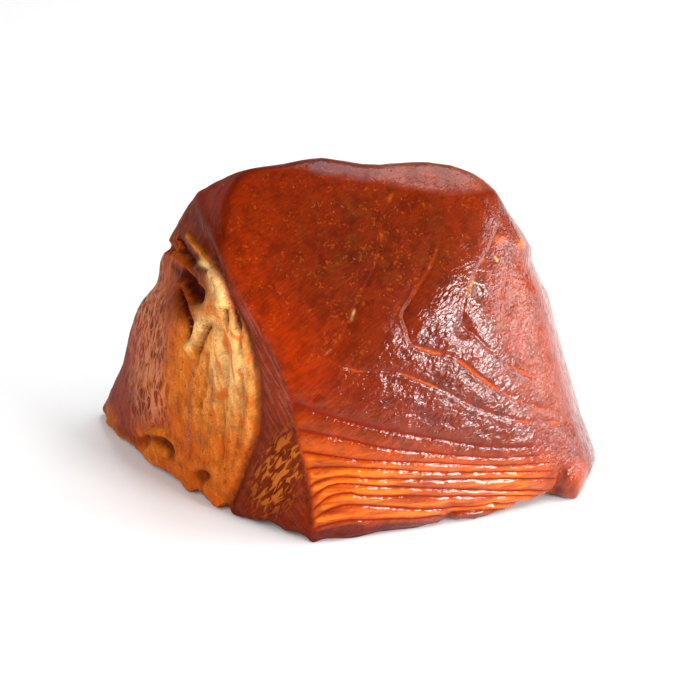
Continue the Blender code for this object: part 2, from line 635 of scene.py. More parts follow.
@dataclass
class CutFace:
    """The glossy cut face right of the ridge: membranes above, flaky laminae below, under a film of juice."""

    membranes: tuple[Membrane, ...] = (
        Membrane(((-8.5, 43.5), (-9.5, 26), (-13.5, 18.5), (-18.5, 9.5), (-20.5, 3.5)), 0.2),
        Membrane(((14, 50.5), (11.5, 45.5), (10, 39.5), (9, 32.5), (7.5, 25), (4, 17.5), (1.5, 12.5),
            (-2.5, 3), (-7, -1), (-12, -5)), 0.55),
        Membrane(((28, 35), (26.5, 30.5), (24.5, 25), (22, 21), (18.5, 15), (16, 10.5), (17, 6.5),
            (18.5, 2), (24.5, -0.5), (29.5, -1.5), (33.5, -3.5), (38, -7.5), (45.5, -12.5), (52, -16),
            (60, -18.5), (69, -19.5)), 1.0),
        Membrane(((45.5, 42), (43.5, 34), (40.5, 28), (37, 21.5), (34.5, 15), (34, 8.5), (38, 4),
            (41.5, 0.5), (46.5, -3), (51.5, -6.5), (59.5, -10)), 0.8),
        Membrane(((-4.5, -3.5), (2.5, -6.5), (12, -6.5), (18, -8), (24, -10.5), (30, -13), (38, -17.5),
            (49, -21), (58.5, -22), (69.5, -22)), 0.9),
    )
    # the lines between the laminae, from the top of the flaky band to its foot
    creases: tuple[Line, ...] = (
        Line(((-15.5, -9), (2, -13.5), (18.5, -18.5), (28, -21.5), (37, -24.5), (54, -26), (69.5, -24.5))),
        Line(((-15.5, -16.5), (-4, -20.5), (12.5, -24.5), (28, -27), (45, -29.2), (66, -28))),
        Line(((-15.5, -24), (-3, -26.5), (9.5, -29.2), (27, -31.2), (45, -32.2), (68, -30.5))),
        Line(((-15, -30.5), (0, -32.8), (9, -33.3), (27, -33.9), (45, -34.6), (65, -33.5))),
        Line(((-15, -36.5), (-11, -35.5), (-3, -35.2), (9, -35.6), (27, -36.6), (63, -36.3))),
        Line(((-14, -42.5), (-10.5, -40), (-5, -38.4), (2, -38.2), (9, -38.7), (63, -38.5))),
        Line(((-13.5, -46), (-10.5, -43.5), (-6, -40.8), (0, -40.2), (9, -40.8), (45, -42.3))),
        Line(((-13, -49.5), (-10, -47), (-6, -44), (0, -43), (9, -43.8), (60, -43.6))),
        Line(((-12, -51.5), (-9, -49.5), (-4, -47.2), (2, -46.4), (27, -47.7), (60, -44.8))),
        Line(((-12, -54), (-6, -52.2), (0, -51.2), (9, -51), (27, -49.6), (60, -46.2))),
    )
    # the film of juice lies below and to the right of this line
    wet_edge: Line = Line(((47, 60), (37, 33), (21, 12), (-2, -2.5), (-30, -8)))
    # the top lies above this one: darker, with a lilac painted reflection of the lamps towards its right
    sliver_foot: Line = Line(((-14, 55), (-8.5, 52.5), (9, 50.4), (18, 48.4), (32.5, 47.2), (46, 48.5)))
    smoked: Patch = Patch(Tone.BROWN, Oval((6, 30), (31, 20)), 0.95)
    deep: tuple[Patch, ...] = (
        Patch(Tone.WINE, Oval((42, 14), (28, 30)), 0.6),
        Patch(Tone.WINE, Oval((7, -6), (17, 5), -15.0), 0.85),
        Patch(Tone.WINE, Oval((37, -10), (26, 9), -20.0), 0.3),
    )
    # painted glow beside the ridge, a painted glint and a painted lift of the top-left facet, with orange
    # spots and flesh tones
    spots_and_painted_light: tuple[Patch, ...] = (
        Patch(Tone.PAINTED_GLOW, Oval((-24, 11), (9, 18), 25.0), 0.45),
        Patch(Tone.PAINTED_GLOW, Oval((-14, -3.5), (11, 11), 25.0), 0.9),
        Patch(Tone.PAINTED_GLOW, Oval((-32, 33), (9, 11), 25.0), 0.35),
        Patch(Tone.SPOT, Oval((45, 33), (1.6, 1.5), 0.0, 1.5), 0.65),
        Patch(Tone.GOLD, Oval((51, 31.8), (1.3, 1.4), 0.0, 1.5), 0.6),
        # a painted glint
        Patch(Tone.CREAM, Oval((43.5, 27), (0.5, 0.9), 30.0, 1.5), 0.5),
        # painted light: lifts the top-left facet beside the ridge, which turns away from the lamps
        Patch(Tone.PAINTED_GLOW, Oval((-40, 45.5), (5.5, 9), -35.0, 1.5), 0.7),
        Patch(Tone.BAND, Oval((56, 4), (12, 34), 15.0, 1.5), 0.35),
        Patch(Tone.OLIVE, Oval((39, 16.5), (1.5, 2.4), 20.0, 1.5), 0.7),
        Patch(Tone.SPOT, Oval((69, -37.5), (2.6, 5.5), 0.0, 1.5), 0.5),
    )
    speckled: tuple[Oval, ...] = (
        Oval((3, 27), (13, 17)),
        Oval((21, 28), (9, 9)),
    )
    # painted shade in two small notches near the foot
    marks: tuple[Patch, ...] = (
        Patch(Tone.HOLLOW_SHADE, Oval((32.8, -44.5), (0.9, 1.5), -20.0, 1.5), 0.75),
        Patch(Tone.WINE, Oval((62.4, -42.2), (1.6, 1.6), 0.0, 1.5), 0.95),
    )
    glints: tuple[Trace, ...] = (
        Trace(Tone.CREAM, ((1.8, 13), (-0.5, 6.5), (-2.8, 3), (-7.5, -1.5)), 0.3, 0.5),
        Trace(Tone.RUST, ((13, 48.5), (11, 42), (9.5, 34), (7.8, 26)), 0.35, 0.5),
        Trace(Tone.CREAM, ((24.5, 25.5), (21.8, 20.5), (18.8, 15.5)), 0.3, 0.45),
        Trace(Tone.CREAM, ((40.5, 28), (37.2, 21.5), (34.8, 14.5)), 0.3, 0.4),
    )
    lumps: tuple[Hollow, ...] = (
        Hollow(Oval((45, 33), (1.8, 1.6), 0.0, 1.5), -0.3),
        Hollow(Oval((51, 31.8), (1.5, 1.6), 0.0, 1.5), -0.3),
        Hollow(Oval((68.5, -38), (2.6, 5), -10.0), -0.8),
        Hollow(Oval((39, 16.5), (1.3, 2.2), 20.0), 0.7),
        Hollow(Oval((34.5, 6), (2.4, 3.4)), 0.8),
    )
    strokes: tuple[Stroke, ...] = (
        Stroke(((58, -44.5), (61.5, -42.5), (63.5, -39), (64.5, -34)), 1.0, -1.3),
        Stroke(((28, -49), (37, -48), (46, -46)), 0.8, -1.3),
    )
    lip_height: float = 0.2
    crack_depth: float = 0.45
    valley_depth: float = 0.3
    lamina_height: float = 0.8
    last_lamina: float = 3.5
    crease_depth: float = 0.4
    seam_reach: float = 1.2

    def lamina_phase(self, place: Array) -> Array:
        """How many laminae lie above a place: the shares of the way down each stretch between creases, added.

        Args:
            place: positions on the pattern plane, n x 2.

        Returns:
            0 above the band, whole numbers on the creases, and one more than the last below it.
        """
        heights = [crease.height_at(place[:, 0]) for crease in self.creases]
        heights.append(heights[-1] - self.last_lamina)
        stretches = zip(heights, heights[1:])
        return sum(np.clip((over - place[:, 1]) / (over - under), 0.0, 1.0) for over, under in stretches)

    def relief(self, site: Site, canvas: Canvas) -> Array:
        """The height of the cut face's details, whose numbers are also written on the canvas.

        Args:
            site: where the points are.
            canvas: gets the numbers seam, lamina and band.

        Returns:
            Heights over the plain block in mm.
        """
        rise = np.zeros(len(site.base))
        seam = np.zeros(len(site.base))
        # a membrane is a fine crack with a lip, broken here and there, in a shallow valley
        drawn = site.place + 0.3 * site.wobble
        for membrane in self.membranes:
            gap, share = Line(membrane.knots).measure(drawn)
            fade = membrane.strength * tapered(share, 0.1)
            broken = fade * (0.6 + 0.4 * ease(-0.25, 0.35, site.grit))
            rise += broken * (self.lip_height * bell(gap - 0.9, 0.5) - self.crack_depth * bell(gap, 0.5))
            rise -= fade * self.valley_depth * bell(gap, 3.5)
            seam = np.maximum(seam, broken * np.clip(1.0 - np.abs(gap) / self.seam_reach, 0.0, 1.0))

        # a lamina is a rounded strand between two creases, and the lower ones stand out more
        phase = self.lamina_phase(site.place + 0.2 * site.wobble)
        beat = np.abs(phase - np.floor(phase) - 0.5) * 2.0
        grown = 0.22 + 0.78 * ease(1.6, 4.4, phase)
        fade = ease(66.0, 50.0, site.place[:, 0] - 0.4 * (phase - 5.0)) * ease(-0.2, 1.6, site.from_ridge)
        band = ease(0.0, 0.15, phase) * ease(9.5, 9.05, phase) * fade
        strand = 0.5 - beat**2.4
        rise += band * grown * self.lamina_height * (0.85 + 0.5 * site.grit) * strand
        rise -= band * (1.0 - grown) * self.crease_depth * ease(0.78, 1.0, beat)
        rise += sum(lump.relief(site.loose) for lump in self.lumps)
        rise += sum(stroke.relief(site.loose) for stroke in self.strokes)
        canvas.numbers.update(seam=seam * site.on_cut, lamina=phase, band=band * grown * site.on_cut)
        return rise * site.on_cut

    def paint(self, site: Site, canvas: Canvas) -> None:
        """Lays the tones of the cut face, with its painted glow, glint, shade and reflection, and the numbers
        wet, speck and smooth.

        Args:
            site: where the points are.
            canvas: what is painted.
        """
        right, up = site.loose.T
        on_cut = site.on_cut
        canvas.lay(Tone.RED, on_cut)
        canvas.lay_all((self.smoked, *self.deep), site.loose, on_cut)
        mottle = ease(-0.1, 0.5, site.fleck + 0.3 * site.cloud)
        canvas.lay(Tone.OLIVE, on_cut * 0.7 * self.smoked.oval.share(site.place) * mottle)
        canvas.lay_all(self.spots_and_painted_light, site.loose, on_cut)
        # painted glow along the ridge
        canvas.lay(Tone.PAINTED_GLOW, on_cut * 0.6 * bell(site.from_ridge - 4.0, 6.0) * bell(up + 2.0, 18.0))
        canvas.lay(Tone.WINE, on_cut * 0.7 * bell(site.from_ridge - 0.4, 1.2) * ease(-20.0, -30.0, up))

        phase = canvas.numbers["lamina"]
        low = ease(0.6, 3.6, phase) * ease(70.0, 56.0, right)
        canvas.lay(Tone.BAND, on_cut * low * ease(10.0, 9.2, phase))
        canvas.lay(Tone.RED, on_cut * 0.25 * ease(30.0, 66.0, right) * ease(-24.0, -34.0, up))
        canvas.lay(Tone.UNDER, on_cut * 0.95 * ease(8.9, 9.3, phase))
        # painted shade in the notches
        canvas.lay_all(self.marks, site.loose, on_cut)
        canvas.lay_all(self.glints, site.place + 0.3 * site.wobble, on_cut * ease(-0.15, 0.35, site.fleck))

        sliver = on_cut * ease(-1.2, 1.6, up - self.sliver_foot.height_at(right))
        canvas.lay(Tone.UNDER, 0.55 * sliver)
        # painted reflection: a lilac sheen of the lamps on the top
        canvas.lay(Tone.LILAC, 0.3 * sliver * ease(0.0, 12.0, right))
        film = ease(5.0, -6.0, self.wet_edge.measure(site.place)[0] + 5.0 * site.cloud)
        inward = ease(-0.5, 3.0, site.from_ridge) * (0.5 + 0.5 * ease(-4.0, 24.0, right))
        wet = np.maximum(film * (0.8 + 0.3 * site.fleck) * inward, 0.75 * sliver)
        under = 1.0 - 0.6 * ease(9.5, 9.9, phase)
        speck = np.clip(sum(oval.share(site.place) for oval in self.speckled), 0.0, 1.0)
        canvas.numbers.update(
            wet=on_cut * np.clip(wet * under, 0.0, 1.0), speck=speck * on_cut, smooth=on_cut * (1.0 - film)
        )


@dataclass
class FatSide:
    """The side left of the ridge: a striped strip, a crease, and folded fat with pockets and ribs."""

    crease_depth: float = 2.0
    streak_height: float = 0.22
    # the long lines down the fat, which are cut in, with painted shade along their grooves
    furrows: tuple[Knots, ...] = (
        ((-43, 2), (-43.5, -9), (-45.5, -20), (-45, -32)),
        ((-37.3, 5), (-37, -9), (-38, -24), (-39.5, -38.5)),
        ((-32.5, -4), (-32, -14.5), (-33, -24.5), (-36, -36.5)),
    )
    folds: tuple[Stroke, ...] = (
        Stroke(((-46.5, 28.5), (-45, 26.8), (-41.2, 23.7), (-38.6, 19.7), (-37.6, 15.7),
            (-38.4, 11.5)), 1.5, 2.6),
        Stroke(((-49.5, 35.5), (-46, 31.5), (-43, 27.8), (-39.5, 23.5)), 0.7, 1.2),
        Stroke(((-53.5, 31.5), (-51, 27.5), (-48.2, 23.2), (-43, 18)), 0.6, 1.7),
        Stroke(((-52.5, 21), (-50.5, 18.5), (-48.2, 15.7), (-45.2, 10.3)), 0.6, 1.7),
        Stroke(((-44.5, 9.5), (-46.5, 4.5), (-50.5, 0)), 1.2, 1.6),
        Stroke(((-41.5, 9), (-40, 2), (-39.5, -8), (-40.5, -20)), 1.3, 0.8),
        Stroke(((-36, 10), (-34.5, 2), (-34, -10), (-35, -24)), 1.3, 0.8),
        Stroke(((-33, 5.5), (-31, -2), (-29.8, -12), (-31, -26)), 1.0, 0.7),
        Stroke(((-51.5, 21), (-50.5, 13.5), (-48.5, 6.5), (-50, 0.5)), 1.1, -3.0),
        Stroke(((-51.8, 33.5), (-49.5, 29.5), (-46.5, 25.5)), 0.9, -2.0),
        Stroke(((-37.2, 13), (-37.4, 10), (-37.2, 7)), 0.6, -1.8),
        Stroke(((-41.3, 8.3), (-43.5, 4.5), (-46, -1.5), (-47, -5.5)), 0.6, -1.6),
        Stroke(((-36, 13), (-34.5, 9), (-33.5, 5.5), (-32.5, -2)), 0.6, -1.8),
        Stroke(furrows[0], 0.8, -0.8),
        Stroke(furrows[1], 0.7, -0.9),
        Stroke(furrows[2], 0.7, -0.8),
        Stroke(((-57, 31.3), (-54, 30.8), (-51.5, 29)), 0.7, -2.6),
        Stroke(((-63, -27.5), (-61, -24.6), (-57, -24.8), (-53, -28.5), (-51.5, -33)), 0.9, 1.5),
        Stroke(((-72, -18), (-71.5, -22.5), (-67.5, -27)), 0.9, 1.2),
    )
    pockets: tuple[Hollow, ...] = (
        Hollow(Oval((-43.5, 25.2), (3, 1.7), -45.0, 2.0), 2.4),
        Hollow(Oval((-47.3, 19.5), (2.4, 5.6), 25.0, 2.0), 3.4),
        Hollow(Oval((-61.5, -27.5), (1.6, 2.4), 0.0, 1.5), 2.0),
        Hollow(Oval((-54.5, -29), (2, 3.6), 35.0, 1.5), 2.6),
        Hollow(Oval((-45, -38.3), (2.7, 2.4), 0.0, 1.6), 2.6),
    )
    lumps: tuple[Hollow, ...] = (
        Hollow(Oval((-42, 13), (3.4, 3.4), 0.0, 1.3), -1.3),
        Hollow(Oval((-58.5, -31), (3.4, 3.8), -40.0, 1.3), -1.2),
    )
    patches: tuple[Patch, ...] = (
        Patch(Tone.GOLD, Oval((-46, -2), (7, 14), 5.0), 0.7),
        Patch(Tone.CREAM, Oval((-37, -3), (6.5, 15), 6.0), 0.75),
        Patch(Tone.CREAM, Oval((-33.5, -8), (3, 16), 2.0), 0.5),
        Patch(Tone.CREAM, Oval((-39.8, 19), (2.3, 6.5), 15.0, 1.5), 0.95),
        Patch(Tone.CREAM, Oval((-42.5, 10.5), (3.5, 4), -20.0, 1.3), 0.6),
        Patch(Tone.GOLD, Oval((-42, 12.5), (2.6, 1.8), 0.0, 1.5), 0.75),
        Patch(Tone.CREAM, Oval((-46.5, 4), (1.6, 5.5), -35.0, 1.5), 0.85),
        Patch(Tone.GOLD, Oval((-46.5, 31.5), (1, 5), 38.0, 1.5), 0.85),
        Patch(Tone.RUST, Oval((-51, 27.8), (0.9, 5.5), 35.0, 1.5), 0.8),
        Patch(Tone.GOLD, Oval((-58.8, -31), (4.2, 4.4), -40.0, 1.5), 0.9),
        Patch(Tone.GOLD, Oval((-58, -24.5), (5, 1.1), 0.0, 1.5), 0.8),
        Patch(Tone.GOLD, Oval((-71.5, -19), (1.6, 4), 20.0, 1.5), 0.8),
        Patch(Tone.RUST, Oval((-25, -46), (8, 5), 25.0), 0.5),
    )
    # the dark traces along grooves are painted shade; the rest are tones of the fat and skin
    traces: tuple[Trace, ...] = (
        Trace(Tone.HOLLOW_SHADE, ((-52, 34.6), (-48.5, 29.5), (-44.5, 25.5)), 1.0, 0.9),
        Trace(Tone.HOLLOW_SHADE, ((-51, 25), (-47.5, 20.3), (-45, 16.5)), 1.7, 0.95),
        Trace(Tone.HOLLOW_SHADE, ((-51.3, 18), (-48.8, 10.5), (-48, 5.5), (-49.5, 0.8)), 1.0, 0.95),
        # painted shade along the cut-in furrows
        Trace(Tone.UNDER, furrows[0], 0.4, 0.45),
        Trace(Tone.UNDER, furrows[1], 0.4, 0.45),
        Trace(Tone.UNDER, furrows[2], 0.35, 0.4),
        Trace(Tone.LILAC, ((-47, -2), (-48.5, -12), (-48, -24), (-50.5, -33)), 0.8, 0.6),
        Trace(Tone.LILAC, ((-42, -4), (-41, -16), (-42.5, -27)), 0.5, 0.5),
        Trace(Tone.GOLD, ((-49.4, 35.3), (-46.5, 31.5), (-43.2, 27.3), (-38.9, 23.4)), 0.6, 0.95),
        Trace(Tone.HOLLOW_SHADE, ((-54.5, 27), (-51.5, 23.5), (-49, 19.5), (-46, 14)), 0.9, 0.8),
        Trace(Tone.RUST, ((-53.3, 31.5), (-51, 27.5), (-48.2, 23.2), (-43.2, 18.3)), 0.4, 0.8),
        Trace(Tone.RUST, ((-52.4, 21), (-50.5, 18.5), (-48.2, 15.7), (-45.2, 10.3)), 0.4, 0.8),
        Trace(Tone.CREAM, ((-44.1, 10.2), (-46.5, 5.2), (-50, 0.5)), 1.0, 0.9),
        Trace(Tone.CREAM, ((-45.7, 27.2), (-41.2, 23.7), (-38.4, 19.7), (-37.4, 14.5), (-38.4, 11)),
            1.1, 1.0),
        Trace(Tone.HOLLOW_SHADE, ((-41.2, 8.8), (-43.5, 4.3), (-46.4, -2.2)), 0.4, 0.85),
        Trace(Tone.HOLLOW_SHADE, ((-37.2, 13.3), (-37.4, 10), (-37.4, 7.3)), 0.45, 0.85),
        Trace(Tone.HOLLOW_SHADE, ((-36.3, 13.6), (-34.7, 9.2), (-33.5, 4.8)), 0.5, 0.9),
        Trace(Tone.HOLLOW_SHADE, ((-34.3, 12), (-31.4, 6), (-29.6, -1.5), (-28.9, -7)), 0.4, 0.6),
        Trace(Tone.HOLLOW_SHADE, ((-61.8, -27.2), (-58, -26.6), (-54.8, -30), (-53.5, -33.5)), 0.9, 0.7),
        Trace(Tone.GOLD, ((-63.2, -26.5), (-61, -24.6), (-57, -24.6), (-52.8, -28.8)), 0.6, 0.8),
        Trace(Tone.GOLD, ((-72, -22), (-63.5, -31.6), (-56.5, -37.5), (-50, -42.2)), 0.9, 0.7),
    )
    comb: Oval = Oval((-21.5, -37), (7, 13), -22.0, 2.0)
    far_left: Oval = Oval((-67.5, -16), (5.5, 11), 20.0, 2.0)
    # how far the folds must sink before the painted shade in them starts, in mm
    pocket_shade_from: float = 0.6

    def relief(self, site: Site, canvas: Canvas) -> Array:
        """The height of the left side's details; the canvas gets the number sunk.

        Args:
            site: where the points are.
            canvas: gets how far the folds and pockets sink, in mm.

        Returns:
            Heights over the plain block in mm.
        """
        fold = sum(stroke.relief(site.loose) for stroke in self.folds)
        dent = sum(pocket.relief(site.loose) for pocket in self.pockets)
        lump = sum(raised.relief(site.loose) for raised in self.lumps)
        cut = self.crease_depth * bell(site.crease_gap, 1.3) * ease(0.0, 0.12, site.crease_share)
        streaks = site.noise(31, 3.2, (1.0, 1.0, 0.3))
        rise = fold + dent + lump - cut + self.streak_height * streaks * ease(-0.5, 1.5, site.crease_gap)
        canvas.numbers["sunk"] = np.clip(-(dent + np.minimum(fold, 0.0)), 0.0, 4.0) * site.on_left
        return rise * site.on_left

    def paint(self, site: Site, canvas: Canvas) -> None:
        """Lays the tones of the left side, with painted shade in its hollows and grooves, and the numbers
        fat, net, strip and comb.

        Args:
            site: where the points are.
            canvas: what is painted.
        """
        right, up = site.loose.T
        on_left = site.on_left
        inside = ease(-0.3, 0.8, site.crease_gap)
        canvas.lay(Tone.MAUVE, on_left)
        fatty = on_left * inside * ease(-68.0, -61.0, right + 3.0 * site.fleck)
        canvas.lay(Tone.RUST, fatty * 0.9)
        canvas.lay(Tone.MAUVE, on_left * inside * 0.35 * ease(-50.0, -58.0, right) * ease(-22.0, -8.0, up))
        golden = ease(-57.0, -45.0, right + 3.0 * site.fleck) * ease(12.0, 4.0, up)
        canvas.lay(Tone.FAT, fatty * 0.92 * golden)
        marbling = site.noise(47, 4.5, (1.0, 1.0, 0.35))
        canvas.lay(Tone.MAUVE, fatty * 0.65 * ease(0.1, 0.5, marbling) * ease(-35.0, -45.0, right))
        canvas.lay(Tone.GOLD, fatty * 0.5 * ease(0.1, 0.5, -marbling))
        # painted shade: the hollow round the upper pockets is painted darker
        hollow = bell(right + 49.0 - 0.25 * (up - 15.0), 6.0) * ease(6.0, 13.0, up)
        canvas.lay(Tone.WINE, on_left * 0.9 * hollow)
        canvas.lay_all(self.patches, site.loose, on_left * ease(-1.2, 0.2, site.crease_gap))
        canvas.lay(Tone.RUST, fatty * 0.6 * ease(-14.0, -32.0, up) * ease(-56.0, -50.0, right))
        canvas.lay(Tone.RUST, fatty * 0.7 * ease(0.25, 0.6, site.fleck) * ease(-6.0, -20.0, up))
        canvas.lay(Tone.WINE, on_left * 0.8 * ease(29.0, 35.0, up - 0.4 * (right + 50.0)))
        canvas.lay(Tone.MAUVE, on_left * self.far_left.share(site.loose))
        canvas.lay(Tone.GOLD, on_left * 0.7 * ease(4.0, 1.5, site.base[:, 2]) * ease(-42.0, -48.0, right))

        # painted shade: darker the deeper the folds and pockets sink, and over the hollow
        sunk = canvas.numbers["sunk"]
        upper = ease(-3.0, 3.0, up)
        canvas.lay(Tone.HOLLOW_SHADE, on_left * upper * 0.95 * ease(self.pocket_shade_from, 1.8, sunk))
        canvas.lay(Tone.HOLLOW_SHADE, on_left * 0.3 * hollow)
        canvas.lay(Tone.HOLLOW_SHADE, on_left * 0.6 * ease(1.0, 2.4, sunk))
        drawn = site.place + 0.35 * site.wobble
        canvas.lay_all(self.traces, drawn, on_left * ease(-0.8, 0.2, site.crease_gap))
        strip = on_left * (1.0 - inside)
        canvas.lay(Tone.MAUVE, 0.8 * on_left * bell(site.crease_gap, 1.0))
        canvas.lay(Tone.WINE, strip * (0.45 + 0.35 * ease(-12.0, -26.0, up)))
        canvas.lay(Tone.RED, strip * 0.5 * ease(-36.0, -46.0, up))
        # painted shade in the groove of the crease
        canvas.lay(Tone.HOLLOW_SHADE, 0.65 * on_left * bell(site.crease_gap + 0.3, 0.6) * ease(-8.0, 2.0, up))
        net = fatty * ease(-52.0, -59.0, right) * ease(-26.0, -16.0, up)
        comb = strip * self.comb.share(site.loose)
        striped = strip * (1.0 - comb) * (0.35 + 0.65 * ease(-34.0, -12.0, up))
        flecked = fatty * (1.0 - 0.7 * net) * (1.0 - hollow)
        canvas.numbers.update(fat=flecked, net=net * (1.0 - hollow), strip=striped, comb=comb)


@dataclass
class TunaChunk:
    """The whole chunk: its block, the two sides that meet at the ridge, and the smoked skin all round."""

    block: Block = field(default_factory=Block)
    plane: PatternPlane = field(default_factory=PatternPlane)
    cut_face: CutFace = field(default_factory=CutFace)
    fat_side: FatSide = field(default_factory=FatSide)
    ridge: Line = Line(((-45.5, 43), (-39.5, 31), (-35.5, 21.5), (-29.5, 10), (-23, 0), (-19, -10.5),
        (-15, -29), (-13, -37), (-11.5, -45.5), (-11, -56)))
    crease: Line = Line(((-44.5, 38.5), (-41.5, 28), (-38, 21), (-36, 15), (-30.5, 3), (-28, -8),
        (-27.5, -18), (-28.5, -26), (-31.5, -34.5), (-36, -44.5), (-38, -49)))
    ridge_height: float = 0.5
    swell_height: float = 0.3
    grain_height: float = 0.08
    wrinkle_height: float = 0.16
    edge_height: float = 1.1
    hidden_height: float = 0.5
    ragged_height: float = 0.8
    ragged_below: float = 9.0

    def site(self, base: Array, normals: Array) -> Site:
        """Measures where the points lie.

        Args:
            base: points of the trimmed block, n x 3, in mm.
            normals: their outward normals.

        Returns:
            The record of places and shared noises.
        """
        coarse, fine = SpaceNoise(3), SpaceNoise(7)
        place = self.plane.place(base)
        wobble = np.stack([coarse.layered(base, 9.0), fine.layered(base, 9.0)], axis=1)
        loose = place + 0.7 * wobble
        crease_gap, crease_share = self.crease.measure(loose)
        return Site(
            base=base,
            place=place,
            loose=loose,
            front=ease(-0.16, -0.03, self.plane.facing(base, normals)),
            from_ridge=place[:, 0] - self.ridge.across_at(place[:, 1]),
            crease_gap=crease_gap,
            crease_share=crease_share,
            cloud=SpaceNoise(21).layered(base, 12.0),
            fleck=SpaceNoise(23).layered(base, 3.5),
            grit=SpaceNoise(11).layered(base, 6.0),
            wobble=wobble,
        )

    def skin_relief(self, site: Site, canvas: Canvas) -> Array:
        """The ridge, the wrinkles of wet flesh, the grain of the hidden sides and the ragged foot.

        Args:
            site: where the points are.
            canvas: read for how wet the points are.

        Returns:
            Heights over the plain block in mm.
        """
        hidden = 1.0 - site.front
        wrinkle = site.noise(41, 2.6, (0.75, 1.0, 1.0))
        rise = self.ridge_height * bell(site.from_ridge - 0.2, 1.4) * site.front
        rise += self.swell_height * site.noise(3, 14.0) + self.grain_height * site.noise(7, 3.0)
        rise += self.wrinkle_height * wrinkle * canvas.numbers["wet"]
        rough_edge = bell(site.from_ridge, 4.5) * ease(0.0, -24.0, site.place[:, 1]) * site.front
        rise += self.edge_height * site.noise(13, 6.0) * rough_edge
        rise += hidden * self.hidden_height * site.noise(37, 4.0, (0.3, 1.0, 1.0))
        low = ease(self.ragged_below, 1.0, site.base[:, 2]) * (site.on_left + hidden)
        return rise + low * self.ragged_height * site.noise(7, 5.0)

    def paint_hidden(self, site: Site, canvas: Canvas) -> None:
        """Varies the smoked tone of the back and the right end, and makes them a little wet.

        Args:
            site: where the points are.
            canvas: what is painted, after both shown sides.
        """
        hidden = 1.0 - site.front
        lengthways = site.noise(43, 6.0, (0.25, 1.0, 1.0))
        canvas.lay(Tone.MAUVE, hidden * 0.6 * ease(0.0, 0.6, site.cloud))
        canvas.lay(Tone.WINE, hidden * 0.6 * ease(0.0, 0.5, lengthways))
        canvas.lay(Tone.RUST, hidden * 0.3 * ease(0.0, 0.8, -lengthways))
        canvas.numbers["wet"] = np.maximum(canvas.numbers["wet"], hidden * 0.55 * ease(-0.5, 0.5, site.cloud))

    def build(self) -> bpy.types.Object:
        """Samples the block, raises and paints both sides, then adds the skin.

        Returns:
            The mesh object, with its painted values on it.
        """
        vectors, columns, rows = self.block.directions()
        grid = (columns, rows, 3)
        base = self.block.surface(vectors.reshape(-1, 3))
        base = self.block.trimmed(base, self.plane)
        normals = self.block.normals(base.reshape(grid)).reshape(-1, 3)
        site, canvas = self.site(base, normals), Canvas(len(base))
        rise = self.cut_face.relief(site, canvas) + self.fat_side.relief(site, canvas)
        self.cut_face.paint(site, canvas)
        self.fat_side.paint(site, canvas)
        self.paint_hidden(site, canvas)
        rise += self.skin_relief(site, canvas)
        points = base + normals * rise[:, None]
        points[:, 2] = np.maximum(points[:, 2], 0.0)
        return self.mesh_object(points, canvas, columns, rows)

    @staticmethod
    def mesh_object(points: Array, canvas: Canvas, columns: int, rows: int) -> bpy.types.Object:
        """Joins the grid's points into a closed mesh; one point stands for each pole.

        Args:
            points: the finished points, columns x rows of them, in mm.
            canvas: the colour and numbers of each point.
            columns: how many columns the grid has.
            rows: how many rows it has, poles included.

        Returns:
            The object, linked to the scene.
        """
        index = np.arange(columns * rows).reshape(columns, rows)
        index[:, 0], index[:, -1] = index[0, 0], index[0, -1]
        after = np.roll(index, -1, axis=0)
        quads = np.stack([index[:, :-1], index[:, 1:], after[:, 1:], after[:, :-1]], axis=-1)
        caps = np.concatenate([quads[:, 0][:, [0, 1, 2]], quads[:, -1][:, [0, 1, 3]]])
        sides = quads[:, 1:-1].reshape(-1, 4)
        used, renamed = np.unique(np.concatenate([sides.ravel(), caps.ravel()]), return_inverse=True)
        sides, caps = renamed[: sides.size].reshape(-1, 4), renamed[sides.size :].reshape(-1, 3)

        mesh = bpy.data.meshes.new("tuna_flesh")
        mesh.from_pydata((points[used] * MM).tolist(), [], [*sides.tolist(), *caps.tolist()])
        mesh.shade_smooth()
        tint = np.concatenate([canvas.tint[used], np.ones((len(used), 1))], axis=1)
        layer = mesh.attributes.new("tint", "FLOAT_COLOR", "POINT")
        layer.data.foreach_set("color", tint.ravel().astype(np.float32))
        for name, value in canvas.numbers.items():
            layer = mesh.attributes.new(name, "FLOAT", "POINT")
            layer.data.foreach_set("value", value[used].astype(np.float32))
        mesh.validate()
        chunk = bpy.data.objects.new("tuna_flesh", mesh)
        bpy.context.scene.collection.objects.link(chunk)
        return chunk


